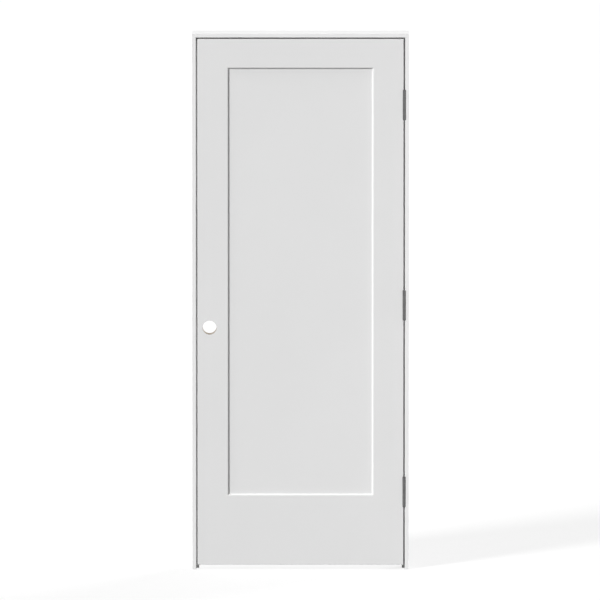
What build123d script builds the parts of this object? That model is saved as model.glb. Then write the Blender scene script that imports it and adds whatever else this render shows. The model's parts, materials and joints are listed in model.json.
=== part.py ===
"""A pre-hung fire door: one moulded panel slab, hinged in a flat wooden frame.

Millimetres. +Z is up, +X runs to the viewer's right, and the door opens towards -Y.
The origin lies on the back of the hinge jamb, at floor level and at half the frame's depth.
"""
import os
from math import cos, radians, sin

from build123d import *

# Slab
slab_width = 790.0
slab_height = 2032.0
slab_thickness = 44.5
skin_thickness = 3.2
lock_bevel = 3.0  # degrees that the lock edge leans back, so that it swings clear of the jamb
edge_ease = 1.0

# Moulded panel in each skin
moulded_stile = 113.0
moulded_top_rail = 107.5
moulded_bottom_rail = 267.0
panel_depth = 6.4
sticking_width = 9.5
nose_width = 4.0  # rounded edge between the flat rim and the shoulder
nose_fall = 0.8
shoulder_width = 1.2
shoulder_fall = 4.6

# Wood inside the skins
core_rim = 16.0  # full-thickness edge of the core, between the stiles and rails and its panel recess
core_relief = 1.0  # room between the core's recess and the back of the sticking

# Lock preparation
bore_diameter = 54.0
bore_backset = 46.0
bore_height = 919.0  # above the slab's lower edge
latch_diameter = 23.8
faceplate_width = 25.4
faceplate_height = 57.2
faceplate_depth = 3.2
faceplate_corner = 6.0

# Strike preparation in the jamb
strike_width = 28.6
strike_height = 69.9
strike_depth = 1.6
strike_corner = 6.0
strike_hole_diameter = 22.2

# Frame
jamb_thickness = 14.3
jamb_depth = 116.0
jamb_ease = 1.5
head_rabbet = 6.0  # how far the head jamb is let into each side jamb
stop_thickness = 11.0
stop_width = 32.0
stop_round = 7.0
stop_ease = 1.0

# Clearances around the closed slab
edge_gap = 5.5  # at the lock edge and at the head
stop_gap = 5.0  # between the slab's back and the stops
undercut = 19.0  # below the slab

# Hinges
hinge_height = 114.3
leaf_thickness = 3.4
leaf_seat = 38.1  # how far a leaf reaches into the slab's edge
leaf_corner = 15.9
mortise_clearance = 0.3  # around a leaf in its mortise
barrel_diameter = 12.7
pin_diameter = 7.9
pin_clearance = 0.08  # radial, in the knuckles
pin_projection = 12.7  # from the slab's face out to the pin's centre
knuckle_count = 5
knuckle_gap = 0.4
knuckle_relief = 0.6  # between a knuckle and the notch in the other leaf
screw_diameter = 5.0
screw_rim_distance = 11.0  # of the outer screws from the leaf's ends and seat edge
screw_stagger = 12.0  # of the inner screws from the outer ones, towards the pin
screw_inner_offset = 17.0  # of the inner screws from the leaf's middle
top_hinge_drop = 253.0  # of its middle below the slab's top
middle_hinge_drop = 1026.0
bottom_hinge_drop = 1748.0

# Places that follow from the sizes above
front_y = -jamb_depth / 2
back_y = front_y + slab_thickness
slab_bottom = undercut
slab_top = slab_bottom + slab_height
head_under = slab_top + edge_gap
frame_top = head_under + jamb_thickness
barrel_radius = barrel_diameter / 2
hinge_gap = 2 * (barrel_radius - leaf_thickness)
hinge_jamb_face = -jamb_thickness
slab_right = hinge_jamb_face - hinge_gap
slab_left = slab_right - slab_width
strike_jamb_face = slab_left - edge_gap
pin_x = hinge_jamb_face - hinge_gap / 2
pin_y = front_y - pin_projection
leaf_end_y = front_y + leaf_seat
stop_y = back_y + stop_gap
lock_z = slab_bottom + bore_height
lock_x = slab_left + bore_backset
latch_y = front_y + slab_thickness / 2
panel_left = slab_left + moulded_stile
panel_right = slab_right - moulded_stile
panel_bottom = slab_bottom + moulded_bottom_rail
panel_top = slab_top - moulded_top_rail
sheet_shift = 0.75 * skin_thickness  # sets the sticking's back off sideways, so that the sheet stays even
wood_thickness = slab_thickness - 2 * skin_thickness
stile_width = moulded_stile - core_rim
core_top = panel_top + core_rim
core_bottom = panel_bottom - core_rim
hinge_heights = {
    "top": slab_top - top_hinge_drop,
    "middle": slab_top - middle_hinge_drop,
    "bottom": slab_top - bottom_hinge_drop,
}

os.makedirs("parts", exist_ok=True)

# The slab's leaning lock edge, facing out of the slab
lock_edge = Plane(
    origin=(slab_left, front_y, lock_z),
    x_dir=(sin(radians(lock_bevel)), cos(radians(lock_bevel)), 0),
    z_dir=(-cos(radians(lock_bevel)), sin(radians(lock_bevel)), 0),
)


def upright(y):
    """Plane across the door at depth y, facing the viewer: its axes are X and Z."""
    return Plane(origin=(0, y, 0), x_dir=(1, 0, 0), z_dir=(0, -1, 0))


def box_sketch(left, right, low, high, mode=Mode.ADD):
    """A rectangle between two places on each axis of its sketch."""
    with Locations(((left + right) / 2, (low + high) / 2)):
        Rectangle(abs(right - left), abs(high - low), mode=mode)


def panel_mouth(margin, mode=Mode.ADD):
    """The panel's opening in a skin's face, grown by a margin."""
    box_sketch(panel_left - margin, panel_right + margin, panel_bottom - margin, panel_top + margin, mode)


def leaf_outline(face_x, start_y, centre_z, margin=0.0):
    """A hinge leaf's outline at face_x: square at the pin's side, rounded where it ends in the wood."""
    half_height = hinge_height / 2 + margin
    with BuildSketch(Plane.YZ.offset(face_x)) as outline:
        box_sketch(start_y, leaf_end_y + margin, centre_z - half_height, centre_z + half_height)
        fillet(outline.vertices().group_by(Axis.X)[-1], radius=leaf_corner + margin)
    return outline.sketch


def cut_leaf_mortises(face_x, side):
    """Let the three leaves in, flush with the wood's face; side is 1 where the wood lies towards +X."""
    for centre_z in hinge_heights.values():
        mortise = leaf_outline(face_x, pin_y, centre_z, mortise_clearance)
        extrude(mortise, amount=side * leaf_thickness, mode=Mode.SUBTRACT)


def cut_lock_bore():
    """The round hole across the slab, cut in the piece being built."""
    with BuildSketch(upright(front_y)) as bore:
        with Locations((lock_x, lock_z)):
            Circle(bore_diameter / 2)
    extrude(bore.sketch, amount=-slab_thickness, mode=Mode.SUBTRACT)


def moulded_sheet():
    """The front skin before its cut-outs: flat rim, swept sticking and flat panel in one sheet."""
    floor_back = panel_depth + skin_thickness
    mouth_middle = (panel_left + panel_right) / 2
    across_rail = Plane(origin=(mouth_middle, front_y, panel_bottom), x_dir=(0, 0, 1), z_dir=(1, 0, 0))
    with BuildPart() as sheet:
        with BuildSketch(upright(front_y)):
            box_sketch(slab_left, slab_right, slab_bottom, slab_top)
            panel_mouth(sheet_shift, mode=Mode.SUBTRACT)
        extrude(amount=-skin_thickness)
        with BuildSketch(upright(front_y + panel_depth)):
            panel_mouth(-sticking_width)
        extrude(amount=-skin_thickness)
        with BuildLine(upright(front_y)) as mouth:
            Polyline(
                (mouth_middle, panel_bottom),
                (panel_right, panel_bottom),
                (panel_right, panel_top),
                (panel_left, panel_top),
                (panel_left, panel_bottom),
                close=True,
            )
        with BuildSketch(across_rail) as sticking:
            with BuildLine():
                for aside, behind in ((0, 0), (sheet_shift, skin_thickness)):
                    rim = (-aside, -behind)
                    nose = (nose_width - aside, -nose_fall - behind)
                    heel = (nose_width + shoulder_width - aside, -nose_fall - shoulder_fall - behind)
                    panel = (sticking_width - aside, -panel_depth - behind)
                    TangentArc(rim, nose, tangent=(1, 0))
                    Line(nose, heel)
                    TangentArc(panel, heel, tangent=(-1, 0))
                Polyline((0, 0), (-sheet_shift, 0), (-sheet_shift, -skin_thickness))
                Polyline(
                    (sticking_width, -panel_depth),
                    (sticking_width, -floor_back),
                    (sticking_width - sheet_shift, -floor_back),
                )
            make_face()
        sweep(sticking.sketch, path=mouth.wires()[0], transition=Transition.RIGHT)
    return sheet.part


def slab_bar(left, right, low, high):
    """A wooden bar between the skins."""
    with BuildSketch(upright(front_y + skin_thickness)) as face:
        box_sketch(left, right, low, high)
    extrude(face.sketch, amount=-wood_thickness)


def side_jamb(face_x, outward):
    """A side jamb with eased corners, rabbeted at its top; outward is 1 where its back faces +X."""
    with BuildSketch() as section:
        box_sketch(face_x, face_x + outward * jamb_thickness, front_y, -front_y)
        fillet(section.vertices().sort_by_distance((face_x, 0))[:2], radius=jamb_ease)
    extrude(section.sketch, amount=frame_top)
    with BuildSketch(Plane.XY.offset(head_under)) as rabbet:
        box_sketch(face_x, face_x + outward * head_rabbet, front_y, -front_y)
    extrude(rabbet.sketch, amount=jamb_thickness, mode=Mode.SUBTRACT)


def side_stop(face_x, outward, mitre):
    """A side stop on a jamb's face, with its room-side corner rounded and its top mitred."""
    free_x = face_x - outward * stop_thickness
    with BuildSketch() as section:
        box_sketch(face_x, free_x, stop_y, stop_y + stop_width)
        fillet(section.vertices().sort_by_distance((free_x, stop_y + stop_width))[0], radius=stop_round)
        fillet(section.vertices().sort_by_distance((free_x, stop_y))[0], radius=stop_ease)
    extrude(section.sketch, amount=head_under)
    split(bisect_by=mitre, keep=Keep.TOP)


def knuckle_spans(centre_z, first):
    """Lower and upper end of every second knuckle of a hinge, from the first of its leaf."""
    pitch = hinge_height / knuckle_count
    base = centre_z - hinge_height / 2
    for index in range(first, knuckle_count, 2):
        low = base + index * pitch + (knuckle_gap / 2 if index > 0 else 0)
        high = base + (index + 1) * pitch - (knuckle_gap / 2 if index < knuckle_count - 1 else 0)
        yield low, high


def screw_planes(face_x, side, centre_z):
    """Where the four staggered screws of a leaf enter it, facing out of the leaf."""
    outer_y = leaf_end_y - screw_rim_distance
    inner_y = outer_y - screw_stagger
    outer_z = hinge_height / 2 - screw_rim_distance
    for y, rise in ((outer_y, outer_z), (inner_y, screw_inner_offset)):
        for z in (centre_z - rise, centre_z + rise):
            yield Plane(origin=(face_x, y, z), z_dir=(-side, 0, 0))


def hinge_leaf(centre_z, side, first_knuckle):
    """One leaf with its knuckles; side is 1 for the leaf on the jamb, -1 for the leaf on the slab."""
    notch_y = pin_y + barrel_radius + knuckle_relief
    face_x = pin_x + side * (barrel_radius - leaf_thickness)
    with BuildPart() as leaf:
        extrude(leaf_outline(face_x, notch_y, centre_z), amount=side * leaf_thickness)
        for low, high in knuckle_spans(centre_z, first_knuckle):
            with BuildSketch(Plane.XY.offset(low)):
                with Locations((pin_x, pin_y)):
                    Circle(barrel_radius)
                box_sketch(face_x, face_x + side * leaf_thickness, pin_y, notch_y)
            extrude(amount=high - low)
        with BuildSketch(Plane.XY.offset(centre_z - hinge_height / 2)):
            with Locations((pin_x, pin_y)):
                Circle(pin_diameter / 2 + pin_clearance)
        extrude(amount=hinge_height, mode=Mode.SUBTRACT)
        with Locations(*screw_planes(face_x, side, centre_z)):
            Hole(screw_diameter / 2, depth=leaf_thickness)
    return leaf.part


def hinge_pin(centre_z):
    """The pin of one hinge, as long as the barrel."""
    with BuildPart() as pin:
        with BuildSketch(Plane.XY.offset(centre_z - hinge_height / 2)):
            with Locations((pin_x, pin_y)):
                Circle(pin_diameter / 2)
        extrude(amount=hinge_height)
    return pin.part


# Skins
sheet = moulded_sheet()

with BuildPart() as front_skin:
    add(sheet)
    split(bisect_by=lock_edge, keep=Keep.BOTTOM)
    fillet(front_skin.faces().sort_by(Axis.Y)[0].outer_wire().edges(), radius=edge_ease)
    cut_lock_bore()
    cut_leaf_mortises(slab_right, -1)
front_skin.part.label = "front_skin"
export_step(front_skin.part, "parts/front_skin.step")

with BuildPart() as back_skin:
    mirror(sheet, about=upright(latch_y))
    split(bisect_by=lock_edge, keep=Keep.BOTTOM)
    fillet(back_skin.faces().sort_by(Axis.Y)[-1].outer_wire().edges(), radius=edge_ease)
    cut_lock_bore()
back_skin.part.label = "back_skin"
export_step(back_skin.part, "parts/back_skin.step")

# Wood between the skins
with BuildPart() as lock_stile:
    slab_bar(slab_left, slab_left + stile_width, slab_bottom, slab_top)
    split(bisect_by=lock_edge, keep=Keep.BOTTOM)
    cut_lock_bore()
    with BuildSketch(Plane.YZ.offset(slab_left)):
        with Locations((latch_y, lock_z)):
            Circle(latch_diameter / 2)
    extrude(amount=bore_backset, mode=Mode.SUBTRACT)
    with BuildSketch(lock_edge):
        with Locations((slab_thickness / 2, 0)):
            RectangleRounded(faceplate_width, faceplate_height, faceplate_corner)
    extrude(amount=-faceplate_depth, mode=Mode.SUBTRACT)
lock_stile.part.label = "lock_stile"
export_step(lock_stile.part, "parts/lock_stile.step")

with BuildPart() as hinge_stile:
    slab_bar(slab_right - stile_width, slab_right, slab_bottom, slab_top)
    cut_leaf_mortises(slab_right, -1)
hinge_stile.part.label = "hinge_stile"
export_step(hinge_stile.part, "parts/hinge_stile.step")

with BuildPart() as top_rail:
    slab_bar(slab_left + stile_width, slab_right - stile_width, core_top, slab_top)
top_rail.part.label = "top_rail"
export_step(top_rail.part, "parts/top_rail.step")

with BuildPart() as bottom_rail:
    slab_bar(slab_left + stile_width, slab_right - stile_width, slab_bottom, core_bottom)
bottom_rail.part.label = "bottom_rail"
export_step(bottom_rail.part, "parts/bottom_rail.step")

with BuildPart() as core:
    slab_bar(slab_left + stile_width, slab_right - stile_width, core_bottom, core_top)
    for recess_y, inward in ((front_y + skin_thickness, -1), (back_y - skin_thickness, 1)):
        with BuildSketch(upright(recess_y)):
            panel_mouth(sheet_shift + core_relief)
        extrude(amount=inward * panel_depth, mode=Mode.SUBTRACT)
core.part.label = "core"
export_step(core.part, "parts/core.step")

# Frame
with BuildPart() as hinge_jamb:
    side_jamb(hinge_jamb_face, 1)
    cut_leaf_mortises(hinge_jamb_face, 1)
hinge_jamb.part.label = "hinge_jamb"
export_step(hinge_jamb.part, "parts/hinge_jamb.step")

with BuildPart() as strike_jamb:
    side_jamb(strike_jamb_face, -1)
    with BuildSketch(Plane.YZ.offset(strike_jamb_face)):
        with Locations((latch_y, lock_z)):
            RectangleRounded(strike_width, strike_height, strike_corner)
    extrude(amount=-strike_depth, mode=Mode.SUBTRACT)
    with BuildSketch(Plane.YZ.offset(strike_jamb_face)):
        with Locations((latch_y, lock_z)):
            Circle(strike_hole_diameter / 2)
    extrude(amount=-jamb_thickness, mode=Mode.SUBTRACT)
strike_jamb.part.label = "strike_jamb"
export_step(strike_jamb.part, "parts/strike_jamb.step")

with BuildPart() as head_jamb:
    with BuildSketch(Plane.YZ.offset(strike_jamb_face - head_rabbet)) as head_section:
        box_sketch(front_y, -front_y, head_under, frame_top)
        fillet(head_section.vertices().group_by(Axis.Y)[0], radius=jamb_ease)
    extrude(amount=hinge_jamb_face - strike_jamb_face + 2 * head_rabbet)
head_jamb.part.label = "head_jamb"
export_step(head_jamb.part, "parts/head_jamb.step")

# Stops, mitred where they meet under the head
hinge_mitre = Plane(origin=(hinge_jamb_face, 0, head_under), z_dir=(1, 0, -1))
strike_mitre = Plane(origin=(strike_jamb_face, 0, head_under), z_dir=(-1, 0, -1))

with BuildPart() as hinge_stop:
    side_stop(hinge_jamb_face, 1, hinge_mitre)
hinge_stop.part.label = "hinge_stop"
export_step(hinge_stop.part, "parts/hinge_stop.step")

with BuildPart() as strike_stop:
    side_stop(strike_jamb_face, -1, strike_mitre)
strike_stop.part.label = "strike_stop"
export_step(strike_stop.part, "parts/strike_stop.step")

with BuildPart() as head_stop:
    with BuildSketch(Plane.YZ.offset(strike_jamb_face)) as stop_section:
        box_sketch(stop_y, stop_y + stop_width, head_under - stop_thickness, head_under)
        low_corners = stop_section.vertices().group_by(Axis.Y)[0].sort_by(Axis.X)
        fillet(low_corners[-1], radius=stop_round)
        front_corner = stop_section.vertices().sort_by_distance((stop_y, head_under - stop_thickness))[0]
        fillet(front_corner, radius=stop_ease)
    extrude(amount=hinge_jamb_face - strike_jamb_face)
    split(bisect_by=hinge_mitre, keep=Keep.BOTTOM)
    split(bisect_by=strike_mitre, keep=Keep.BOTTOM)
head_stop.part.label = "head_stop"
export_step(head_stop.part, "parts/head_stop.step")

# Hinges: the jamb's leaf has the outer knuckles, the slab's leaf those between
for place, centre_z in hinge_heights.items():
    jamb_leaf = hinge_leaf(centre_z, 1, 0)
    jamb_leaf.label = f"{place}_hinge_jamb_leaf"
    export_step(jamb_leaf, f"parts/{place}_hinge_jamb_leaf.step")
    door_leaf = hinge_leaf(centre_z, -1, 1)
    door_leaf.label = f"{place}_hinge_door_leaf"
    export_step(door_leaf, f"parts/{place}_hinge_door_leaf.step")
    pin = hinge_pin(centre_z)
    pin.label = f"{place}_hinge_pin"
    export_step(pin, f"parts/{place}_hinge_pin.step")
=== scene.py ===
"""Looks of a pre-hung fire door: finishes, hinge screws, pin tips, light, floor and camera.

Metres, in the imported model's frame: +Z is up, +X runs to the viewer's right, and the door opens towards -Y.
"""
import json
from math import cos, pi, radians, sin

import bmesh
import bpy
from mathutils import Matrix, Vector

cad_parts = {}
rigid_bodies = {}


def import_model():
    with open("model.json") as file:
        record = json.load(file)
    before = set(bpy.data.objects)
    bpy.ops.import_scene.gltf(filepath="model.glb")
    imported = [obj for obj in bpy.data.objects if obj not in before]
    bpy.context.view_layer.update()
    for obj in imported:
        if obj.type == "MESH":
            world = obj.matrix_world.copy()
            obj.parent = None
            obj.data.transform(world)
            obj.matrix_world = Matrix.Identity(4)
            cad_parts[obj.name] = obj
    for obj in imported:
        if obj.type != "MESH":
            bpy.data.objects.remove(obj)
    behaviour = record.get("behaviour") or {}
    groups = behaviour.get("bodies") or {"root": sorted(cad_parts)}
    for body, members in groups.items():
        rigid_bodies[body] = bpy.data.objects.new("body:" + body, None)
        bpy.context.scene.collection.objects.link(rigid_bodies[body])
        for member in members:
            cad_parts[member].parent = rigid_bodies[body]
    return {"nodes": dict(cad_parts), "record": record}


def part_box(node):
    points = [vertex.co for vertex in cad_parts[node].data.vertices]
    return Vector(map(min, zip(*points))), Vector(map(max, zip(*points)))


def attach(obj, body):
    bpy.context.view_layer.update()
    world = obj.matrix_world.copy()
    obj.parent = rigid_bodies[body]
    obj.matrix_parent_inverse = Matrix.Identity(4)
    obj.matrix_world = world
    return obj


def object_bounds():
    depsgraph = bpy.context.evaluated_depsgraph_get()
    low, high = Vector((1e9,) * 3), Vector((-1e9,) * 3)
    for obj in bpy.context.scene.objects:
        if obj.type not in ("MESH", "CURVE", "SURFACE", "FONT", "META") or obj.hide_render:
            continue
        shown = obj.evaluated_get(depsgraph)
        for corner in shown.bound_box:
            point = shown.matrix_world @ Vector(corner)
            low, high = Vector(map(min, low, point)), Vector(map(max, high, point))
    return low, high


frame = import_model()
cad_low, cad_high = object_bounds()
nodes = frame["nodes"]
mounts = {mount["name"]: mount for mount in frame["record"]["mounts"]}

# Photograph: what one of its pixels covers at the door's face, and where its middle falls on the slab
photo_pixels = 600
pixel_size = 0.0038356
aim_right = -0.0020  # from the slab's middle
aim_up = 0.0094  # from the slab's middle
camera_distance = 60.0
camera_pitch = radians(7.2)
camera_reach = 180.0  # past the floor's far corner
sensor_width = 36.0  # in millimetres, as Blender takes it

# Primer: matte white, a little cloudy, with a fine stipple and the wood's grain showing through
skin_tone = 0.745
frame_tone = 0.86
cloud_scale = 2.6
cloud_dark = 0.988  # share of the tone
cloud_light = 1.008  # share of the tone
primer_patch_scale = 45.0
primer_roughness = (0.46, 0.56)
primer_specular = 0.35
stipple_scale = 600.0
stipple_height = 0.0002
stipple_strength = 0.9
grain_scale = 5.0
grain_height = 0.0003
grain_strength = 0.5
upright_grain = (70.0, 70.0, 2.5)  # how fine the grain is along each axis
level_grain = (2.5, 70.0, 70.0)

# Bare fibre and wood, where the primer is cut through
fibre_scale = 600.0
fibre_brown = (0.36, 0.33, 0.29)
fibre_grey = (0.28, 0.28, 0.28)
wood_scale = 4.0
wood_grain = (60.0, 60.0, 4.0)
wood_pale = (0.50, 0.43, 0.35)
wood_dark = (0.36, 0.30, 0.23)
bare_extra_roughness = 0.25
bore_margin = 0.0004  # of the bare zone around the lock bore
lock_edge_margin = 0.0022  # further in than the leaning lock edge anywhere
latch_zone_reach = 0.04  # above and below the latch
strike_zone_half_width = 0.0145
strike_zone_half_height = 0.0352
strike_back_margin = 0.0002
strike_face_margin = 0.0003
well_clear = 1.0  # past anything on the door

# Core: pressed chips
chip_scale = 320.0
chip_stretch = (1.0, 1.0, 1.6)
chip_reach = 0.9  # from a chip's middle, where it is darkest
chip_pale = (0.66, 0.53, 0.38)
chip_dark = (0.46, 0.34, 0.22)
chip_roughness = 0.85
chip_height = 0.0002
chip_strength = 0.5

# Hinge steel: satin, brushed along the hinge
steel_tone = 0.14
screw_tone = 0.24
brush_scale = 2600.0
brush_stretch = (1.0, 1.0, 0.03)
brush_roughness = (0.30, 0.40)
brush_height = 0.00002
brush_strength = 0.25
smudge_scale = 55.0
smudge_dark = 0.9  # share of the tone
smudge_light = 1.08  # share of the tone
smudge_roughness = (-0.03, 0.05)  # added to the brushing's

# Hinge screws and pin tips
leaf_thickness = 0.0034
screws_on_leaf = 4
screw_rim_distance = 0.011  # of the outer screws from the leaf's ends and seat edge
screw_stagger = 0.012  # of the inner screws from the outer ones, towards the pin
screw_inner_offset = 0.017  # of the inner screws from the leaf's middle
screw_turn = radians(37)  # from one screw's cross to the next
screw_jamb_lead = 2  # turns by which the jamb's screws are ahead of the door's
screw_head_radius = 0.0054
screw_head_rise = 0.0005  # above the leaf
screw_rim_rise = 0.0002
screw_shoulder_rise = 0.000425
screw_shoulder_inset = 0.0004  # from the rim
screw_crown_inset = 0.0011  # from the rim
recess_reach = 0.0031  # of the cross recess from the screw's axis
recess_half_width = 0.0007
recess_floor_reach = 0.00112
recess_floor_half_width = 0.00042
recess_depth = 0.0022
tip_inset = 0.0007  # of a pin tip's rim from the barrel
tip_rise = 0.0016
tip_profile = ((1.0, 0.0), (1.0, 0.3), (0.97, 0.5), (0.86, 0.75), (0.62, 0.92), (0.3, 1.0))  # out, up
round_steps = 40

# Light: shares that add up to about 1 on the slab's face with the floor's, so that colours render as written
world_share = 0.15
key_share = 0.70
key_turn = radians(-46)  # from straight in front of the slab, to the right
key_height = radians(29)
key_spread = radians(12)
rim_share = 0.05
rim_turn = radians(-78)
rim_height = radians(60)
rim_spread = radians(20)
box_share = 0.04
box_place = (1.4, -2.6, 1.3)
box_size = 1.4
back_share = 0.66  # on the slab's back
back_turn = radians(140)
back_height = radians(18)
back_spread = radians(24)
floor_tone = 0.22
floor_lift = 0.80  # seen by the camera and in reflections only
floor_reach = 40.0


class Graph:
    """A material's node tree, built one node at a time."""

    mix_colours = (6, 7)  # the sockets of a mix node that take colours
    mixed_colour = 2

    def __init__(self, name):
        self.material = bpy.data.materials.new(name)
        self.material.use_nodes = True
        self.tree = self.material.node_tree
        self.tree.nodes.clear()
        self.output = self.tree.nodes.new("ShaderNodeOutputMaterial")

    def node(self, kind, inputs=None, **settings):
        """Add a node; an input is a number, a colour or another node's output."""
        made = self.tree.nodes.new(kind)
        for key, value in settings.items():
            setattr(made, key, value)
        for key, value in (inputs or {}).items():
            if isinstance(value, bpy.types.NodeSocket):
                self.tree.links.new(value, made.inputs[key])
            else:
                made.inputs[key].default_value = value
        return made

    def math(self, operation, first, second=0.0):
        return self.node("ShaderNodeMath", {0: first, 1: second}, operation=operation).outputs[0]

    def place(self, stretch=(1.0, 1.0, 1.0)):
        """Where a point lies in the frame, with each axis scaled."""
        coordinates = self.node("ShaderNodeTexCoord").outputs["Object"]
        return self.node("ShaderNodeMapping", {"Vector": coordinates, "Scale": stretch}).outputs[0]

    def noise(self, place, scale, detail=3.0):
        inputs = {"Vector": place, "Scale": scale, "Detail": detail}
        return self.node("ShaderNodeTexNoise", inputs).outputs["Fac"]

    def span(self, value, low=0.0, high=1.0, start=0.3, end=0.7):
        """Map a value between two results; noise mostly lies from 0.3 to 0.7."""
        inputs = {"Value": value, "From Min": start, "From Max": end, "To Min": low, "To Max": high}
        return self.node("ShaderNodeMapRange", inputs).outputs[0]

    def blend(self, share, first, second):
        """Mix two colours."""
        made = self.node("ShaderNodeMix", data_type="RGBA")
        self.tree.links.new(share, made.inputs[0])
        for index, colour in zip(self.mix_colours, (first, second)):
            if isinstance(colour, bpy.types.NodeSocket):
                self.tree.links.new(colour, made.inputs[index])
            else:
                made.inputs[index].default_value = (*colour, 1.0)
        return made.outputs[self.mixed_colour]

    def bump(self, height, distance, strength, under=None):
        inputs = {"Height": height, "Distance": distance, "Strength": strength}
        if under is not None:
            inputs["Normal"] = under
        return self.node("ShaderNodeBump", inputs).outputs[0]

    def finish(self, shader):
        self.tree.links.new(shader, self.output.inputs["Surface"])
        return self.material


def grey(tone):
    return (tone, tone, tone)


def box_mask(graph, low, high):
    """1 inside a box of the frame, 0 outside."""
    axes = graph.node("ShaderNodeSeparateXYZ", {0: graph.place()}).outputs
    mask = None
    for axis, start, end in zip(axes, low, high):
        above = graph.math("GREATER_THAN", axis, start)
        below = graph.math("LESS_THAN", axis, end)
        inside = graph.math("MULTIPLY", above, below)
        mask = inside if mask is None else graph.math("MULTIPLY", mask, inside)
    return mask


def bore_mask(graph, mount, margin):
    """1 within a bore that runs along Y, 0 outside."""
    axes = graph.node("ShaderNodeSeparateXYZ", {0: graph.place()}).outputs
    across = graph.math("SUBTRACT", axes[0], mount["pos_m"][0])
    up = graph.math("SUBTRACT", axes[2], mount["pos_m"][2])
    squares = graph.math("ADD", graph.math("MULTIPLY", across, across), graph.math("MULTIPLY", up, up))
    reach = mount["dims"]["r_mm"] / 1000 + margin
    return graph.math("LESS_THAN", squares, reach * reach)


def raw_wood(graph):
    """Softwood colour with its grain upright."""
    rings = graph.noise(graph.place(wood_grain), wood_scale, detail=5.0)
    return graph.blend(graph.span(rings), wood_pale, wood_dark)


def bare_fibre(graph):
    """The pressed fibre of a skin, seen where the lock bore cuts it: its colour, and where it shows."""
    flecks = graph.span(graph.noise(graph.place(), fibre_scale))
    return graph.blend(flecks, fibre_brown, fibre_grey), bore_mask(graph, mounts["lock_bore"], bore_margin)


def bare_stile(graph):
    """The lock stile's wood in its bores and in the faceplate's recess: its colour, and where it shows."""
    lock_bore = mounts["lock_bore"]
    low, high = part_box("lock_stile")
    height = lock_bore["pos_m"][2]
    zone_low = (low.x + lock_edge_margin, low.y - well_clear, height - latch_zone_reach)
    zone_high = (high.x + well_clear, high.y + well_clear, height + latch_zone_reach)
    zone = box_mask(graph, zone_low, zone_high)
    return raw_wood(graph), graph.math("MAXIMUM", zone, bore_mask(graph, lock_bore, bore_margin))


def bare_strike(graph):
    """The strike jamb's wood in the strike's recess and hole: its colour, and where it shows."""
    low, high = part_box("strike_jamb")
    x, y, z = mounts["strike_hole"]["pos_m"]
    zone_low = (low.x + strike_back_margin, y - strike_zone_half_width, z - strike_zone_half_height)
    zone_high = (high.x - strike_face_margin, y + strike_zone_half_width, z + strike_zone_half_height)
    return raw_wood(graph), box_mask(graph, zone_low, zone_high)


def primer(name, tone, grain=None, bare=None):
    """Matte white primer with a stipple; grain sets the wood's lines, bare gives a cut surface and where."""
    graph = Graph(name)
    cloud = graph.span(graph.noise(graph.place(), cloud_scale, detail=4.0))
    colour = graph.blend(cloud, grey(tone * cloud_dark), grey(tone * cloud_light))
    roughness = graph.span(graph.noise(graph.place(), primer_patch_scale), *primer_roughness)
    normal = graph.bump(graph.noise(graph.place(), stipple_scale), stipple_height, stipple_strength)
    if grain is not None:
        lines = graph.noise(graph.place(grain), grain_scale, detail=4.0)
        normal = graph.bump(lines, grain_height, grain_strength, under=normal)
    if bare is not None:
        bare_colour, mask = bare(graph)
        colour = graph.blend(mask, colour, bare_colour)
        roughness = graph.math("ADD", roughness, graph.math("MULTIPLY", mask, bare_extra_roughness))
    inputs = {"Base Color": colour, "Roughness": roughness, "Normal": normal}
    inputs["Specular IOR Level"] = primer_specular
    return graph.finish(graph.node("ShaderNodeBsdfPrincipled", inputs).outputs[0])


def particle_board(name):
    """Pressed chips of the core."""
    graph = Graph(name)
    chips = graph.node("ShaderNodeTexVoronoi", {"Vector": graph.place(chip_stretch), "Scale": chip_scale})
    shade = graph.span(chips.outputs["Distance"], start=0.0, end=chip_reach)
    colour = graph.blend(shade, chip_pale, chip_dark)
    normal = graph.bump(shade, chip_height, chip_strength)
    inputs = {"Base Color": colour, "Roughness": chip_roughness, "Normal": normal}
    return graph.finish(graph.node("ShaderNodeBsdfPrincipled", inputs).outputs[0])


def satin_steel(name, tone):
    """Brushed steel, with its scratches along the hinge."""
    graph = Graph(name)
    brushed = graph.noise(graph.place(brush_stretch), brush_scale)
    smudge = graph.noise(graph.place(), smudge_scale)
    colour = graph.blend(graph.span(smudge), grey(tone * smudge_dark), grey(tone * smudge_light))
    scratches = graph.span(brushed, *brush_roughness)
    roughness = graph.math("ADD", scratches, graph.span(smudge, *smudge_roughness))
    normal = graph.bump(brushed, brush_height, brush_strength)
    inputs = {"Base Color": colour, "Metallic": 1.0, "Roughness": roughness, "Normal": normal}
    return graph.finish(graph.node("ShaderNodeBsdfPrincipled", inputs).outputs[0])


def dress(names, material):
    for name in names:
        nodes[name].data.materials.clear()
        nodes[name].data.materials.append(material)


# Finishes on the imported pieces
hinge_places = ("top", "middle", "bottom")
dress(("front_skin", "back_skin"), primer("primed_skin", skin_tone, bare=bare_fibre))
dress(("lock_stile",), primer("primed_lock_stile", skin_tone, upright_grain, bare_stile))
dress(("hinge_stile",), primer("primed_hinge_stile", skin_tone, upright_grain))
dress(("top_rail", "bottom_rail"), primer("primed_rails", skin_tone, level_grain))
dress(("core",), particle_board("particle_board"))
dress(("hinge_jamb", "hinge_stop", "strike_stop"), primer("primed_frame_upright", frame_tone, upright_grain))
dress(("strike_jamb",), primer("primed_strike_jamb", frame_tone, upright_grain, bare_strike))
dress(("head_jamb", "head_stop"), primer("primed_frame_level", frame_tone, level_grain))
steel = satin_steel("satin_steel", steel_tone)
for place in hinge_places:
    dress([f"{place}_hinge_{piece}" for piece in ("jamb_leaf", "door_leaf", "pin")], steel)


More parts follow.
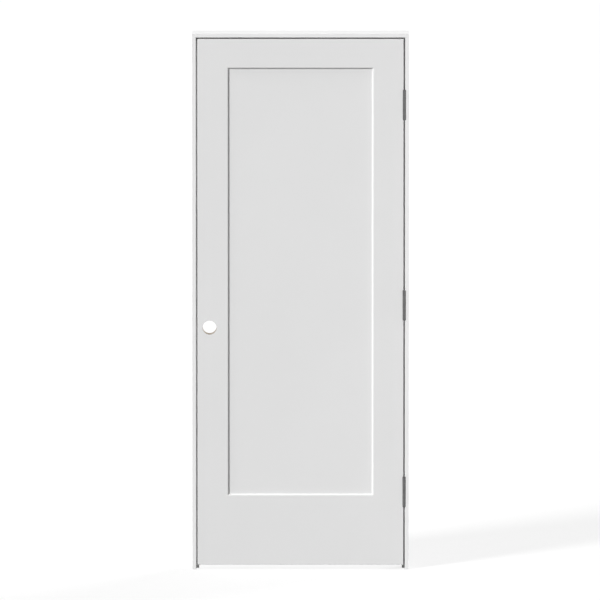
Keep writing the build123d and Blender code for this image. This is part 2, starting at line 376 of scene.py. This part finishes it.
def ring(shape, radius, height):
    """Corners around the Z axis."""
    angles = [2 * pi * step / round_steps for step in range(round_steps)]
    return [shape.verts.new((radius * cos(angle), radius * sin(angle), height)) for angle in angles]


def bridge(shape, lower, upper, smooth=True):
    for index, corner in enumerate(lower):
        following = (index + 1) % len(lower)
        face = shape.faces.new((corner, lower[following], upper[following], upper[index]))
        face.smooth = smooth


def cross_loop(shape, reach, half_width, height, turn):
    """The outline of a cross, anticlockwise from its right arm."""
    corners = []
    for arm in range(4):
        angle = arm * pi / 2 + turn
        for along, aside in ((reach, -half_width), (reach, half_width), (half_width, half_width)):
            x = along * cos(angle) - aside * sin(angle)
            y = along * sin(angle) + aside * cos(angle)
            corners.append(shape.verts.new((x, y, height)))
    return corners


def screw_head(shape, turn):
    """Corners of a flat head with a rounded rim and a tapered cross recess, along +Z from its seat at 0."""
    foot = ring(shape, screw_head_radius, 0.0)
    rim = ring(shape, screw_head_radius, screw_rim_rise)
    shoulder = ring(shape, screw_head_radius - screw_shoulder_inset, screw_shoulder_rise)
    crown = ring(shape, screw_head_radius - screw_crown_inset, screw_head_rise)
    for lower, upper in ((foot, rim), (rim, shoulder), (shoulder, crown)):
        bridge(shape, lower, upper)
    mouth = cross_loop(shape, recess_reach, recess_half_width, screw_head_rise, turn)
    floor_height = screw_head_rise - recess_depth
    floor = cross_loop(shape, recess_floor_reach, recess_floor_half_width, floor_height, turn)
    loops = [shape.edges.get(pair) for pair in zip(crown, crown[1:] + crown[:1])]
    loops += [shape.edges.new(pair) for pair in zip(mouth, mouth[1:] + mouth[:1])]
    bmesh.ops.triangle_fill(shape, use_beauty=True, edges=loops)
    bridge(shape, mouth, floor, smooth=False)
    shape.faces.new(floor)
    return foot + rim + shoulder + crown + mouth + floor


def pin_tip(shape, radius):
    """Corners of a low domed button, along +Z from its seat at 0."""
    rings = [ring(shape, radius * out, tip_rise * up) for out, up in tip_profile]
    for lower, upper in zip(rings, rings[1:]):
        bridge(shape, lower, upper)
    cap = shape.faces.new(rings[-1])
    cap.smooth = True
    return [corner for loop in rings for corner in loop]


def hinge_piece(name, shape, material, body):
    """A new piece of a hinge from a filled bmesh, riding on a body."""
    bmesh.ops.recalc_face_normals(shape, faces=shape.faces)
    mesh = bpy.data.meshes.new(name)
    shape.to_mesh(mesh)
    shape.free()
    mesh.materials.append(material)
    piece = bpy.data.objects.new(name, mesh)
    bpy.context.scene.collection.objects.link(piece)
    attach(piece, body)


# Hinge screws and pin tips, each hinge's own
screw_steel = satin_steel("screw_steel", screw_tone)
for order, place in enumerate(hinge_places):
    leaf_low, leaf_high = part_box(f"{place}_hinge_jamb_leaf")
    pin_low, pin_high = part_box(f"{place}_hinge_pin")
    pin_axis = (pin_low + pin_high) / 2
    barrel_radius = (leaf_high.x - leaf_low.x) / 2
    outer_rise = (leaf_high.z - leaf_low.z) / 2 - screw_rim_distance
    outer_y = leaf_high.y - screw_rim_distance
    inner_y = outer_y - screw_stagger
    spots = (
        (outer_y, -outer_rise),
        (outer_y, outer_rise),
        (inner_y, -screw_inner_offset),
        (inner_y, screw_inner_offset),
    )
    for leaf, body, side, lead in (("jamb", "frame", 1, screw_jamb_lead), ("door", "door", -1, 0)):
        screws = bmesh.new()
        face_x = pin_axis.x + side * (barrel_radius - leaf_thickness)
        facing = Matrix.Rotation(-side * pi / 2, 4, "Y")
        for number, (y, rise) in enumerate(spots):
            turns = 1 + number + screws_on_leaf * order + lead
            placing = Matrix.Translation((face_x, y, pin_axis.z + rise)) @ facing
            bmesh.ops.transform(screws, matrix=placing, verts=screw_head(screws, screw_turn * turns))
        hinge_piece(f"{place}_hinge_{leaf}_screws", screws, screw_steel, body)
    tips = bmesh.new()
    upper_end = Matrix.Translation((pin_axis.x, pin_axis.y, pin_high.z))
    lower_end = Matrix.Translation((pin_axis.x, pin_axis.y, pin_low.z)) @ Matrix.Rotation(pi, 4, "X")
    for placing in (upper_end, lower_end):
        bmesh.ops.transform(tips, matrix=placing, verts=pin_tip(tips, barrel_radius - tip_inset))
    hinge_piece(f"{place}_hinge_tips", tips, steel, "frame")

slab_low, slab_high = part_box("front_skin")
slab_middle = Vector(((slab_low.x + slab_high.x) / 2, slab_low.y, (slab_low.z + slab_high.z) / 2))


def hang(name, lamp, towards):
    """Put a lamp in the scene, shining back along a direction, out of the camera's sight."""
    holder = bpy.data.objects.new(name, lamp)
    holder.rotation_mode = "QUATERNION"
    holder.rotation_quaternion = towards.to_track_quat("Z", "Y")
    holder.visible_camera = False
    bpy.context.scene.collection.objects.link(holder)
    return holder


def far_lamp(name, turn, height, spread, share):
    """A lamp far off, turned from the front and raised, as bright as its share on an upright face asks."""
    towards = Vector((sin(turn) * cos(height), -cos(turn) * cos(height), sin(height)))
    lamp = bpy.data.lights.new(name, "SUN")
    lamp.angle = spread
    lamp.energy = share * pi / abs(towards.y)
    return hang(name, lamp, towards)


def soft_box(name, place, size, share):
    """A square lamp that faces the middle of the slab's front."""
    towards = Vector(place) - slab_middle
    lamp = bpy.data.lights.new(name, "AREA")
    lamp.size = size
    lamp.energy = share * pi * pi * towards.length ** 3 / abs(towards.y)
    holder = hang(name, lamp, towards)
    holder.location = place
    return holder


def passes(lamp, pieces):
    """Let a lamp's light through some pieces, which then throw no shadow of it."""
    passed = bpy.data.collections.new(f"passed_by_{lamp.name}")
    for piece in pieces:
        passed.objects.link(piece)
    for entry in passed.collection_objects:
        entry.light_linking.link_state = "EXCLUDE"
    lamp.light_linking.blocker_collection = passed


# Lamps: the key passes the hinges, so they throw no hard shadow, and the soft box lights the gap there
key_lamp = far_lamp("key_lamp", key_turn, key_height, key_spread, key_share)
rim_lamp = far_lamp("rim_lamp", rim_turn, rim_height, rim_spread, rim_share)
far_lamp("back_lamp", back_turn, back_height, back_spread, back_share)
box_lamp = soft_box("soft_box", box_place, box_size, box_share)
passes(key_lamp, [piece for piece in bpy.data.objects if "_hinge_" in piece.name])
passes(box_lamp, [nodes["hinge_jamb"]])

# The rim lamp picks out the moulding alone
moulding = bpy.data.collections.new("lit_by_rim_lamp")
for name in ("front_skin", "back_skin"):
    moulding.objects.link(nodes[name])
rim_lamp.light_linking.receiver_collection = moulding


def seen_directly(tree):
    """1 for what the camera sees, also in a reflection or through glass."""
    rays = tree.nodes.new("ShaderNodeLightPath").outputs
    seen = rays["Is Camera Ray"]
    for other in ("Is Glossy Ray", "Is Transmission Ray"):
        either = tree.nodes.new("ShaderNodeMath")
        either.operation = "MAXIMUM"
        tree.links.new(seen, either.inputs[0])
        tree.links.new(rays[other], either.inputs[1])
        seen = either.outputs[0]
    return seen


# World: white to the camera, dim as a light
world = bpy.data.worlds.new("studio")
world.use_nodes = True
bpy.context.scene.world = world
sky = world.node_tree
background = sky.nodes["Background"]
background.inputs["Color"].default_value = (1.0, 1.0, 1.0, 1.0)
strength = sky.nodes.new("ShaderNodeMapRange")
strength.inputs["To Min"].default_value = world_share
strength.inputs["To Max"].default_value = 1.0
sky.links.new(seen_directly(sky), strength.inputs["Value"])
sky.links.new(strength.outputs[0], background.inputs["Strength"])

# Floor: pale, keeps the shadow, and is clear from below
floor_graph = Graph("studio_floor")
lift = floor_graph.math("MULTIPLY", seen_directly(floor_graph.tree), floor_lift)
matte = floor_graph.node("ShaderNodeBsdfDiffuse", {"Color": (*grey(floor_tone), 1.0)}).outputs[0]
glow = floor_graph.node("ShaderNodeEmission", {"Strength": lift}).outputs[0]
lit = floor_graph.node("ShaderNodeAddShader", {0: matte, 1: glow}).outputs[0]
clear = floor_graph.node("ShaderNodeBsdfTransparent").outputs[0]
under = floor_graph.node("ShaderNodeNewGeometry").outputs["Backfacing"]
surface = floor_graph.node("ShaderNodeMixShader", {0: under, 1: lit, 2: clear}).outputs[0]
floor_mesh = bpy.data.meshes.new("studio_floor")
corners = [(x * floor_reach, y * floor_reach, cad_low.z) for x, y in ((-1, -1), (1, -1), (1, 1), (-1, 1))]
floor_mesh.from_pydata(corners, [], [(0, 1, 2, 3)])
floor_mesh.materials.append(floor_graph.finish(surface))
studio_floor = bpy.data.objects.new("studio_floor", floor_mesh)
bpy.context.scene.collection.objects.link(studio_floor)

# Camera: far off and a little above, so that the door's upright lines stay parallel
aim = slab_middle + Vector((aim_right, 0.0, aim_up))
camera_data = bpy.data.cameras.new("camera")
camera_data.sensor_width = sensor_width
camera_data.lens = sensor_width * camera_distance / (photo_pixels * pixel_size)
camera_data.clip_end = camera_reach
camera = bpy.data.objects.new("camera", camera_data)
camera.location = aim + camera_distance * Vector((0.0, -cos(camera_pitch), sin(camera_pitch)))
camera.rotation_euler = (pi / 2 - camera_pitch, 0.0, 0.0)
bpy.context.scene.collection.objects.link(camera)
bpy.context.scene.camera = camera
bpy.context.scene.view_settings.view_transform = "Standard"
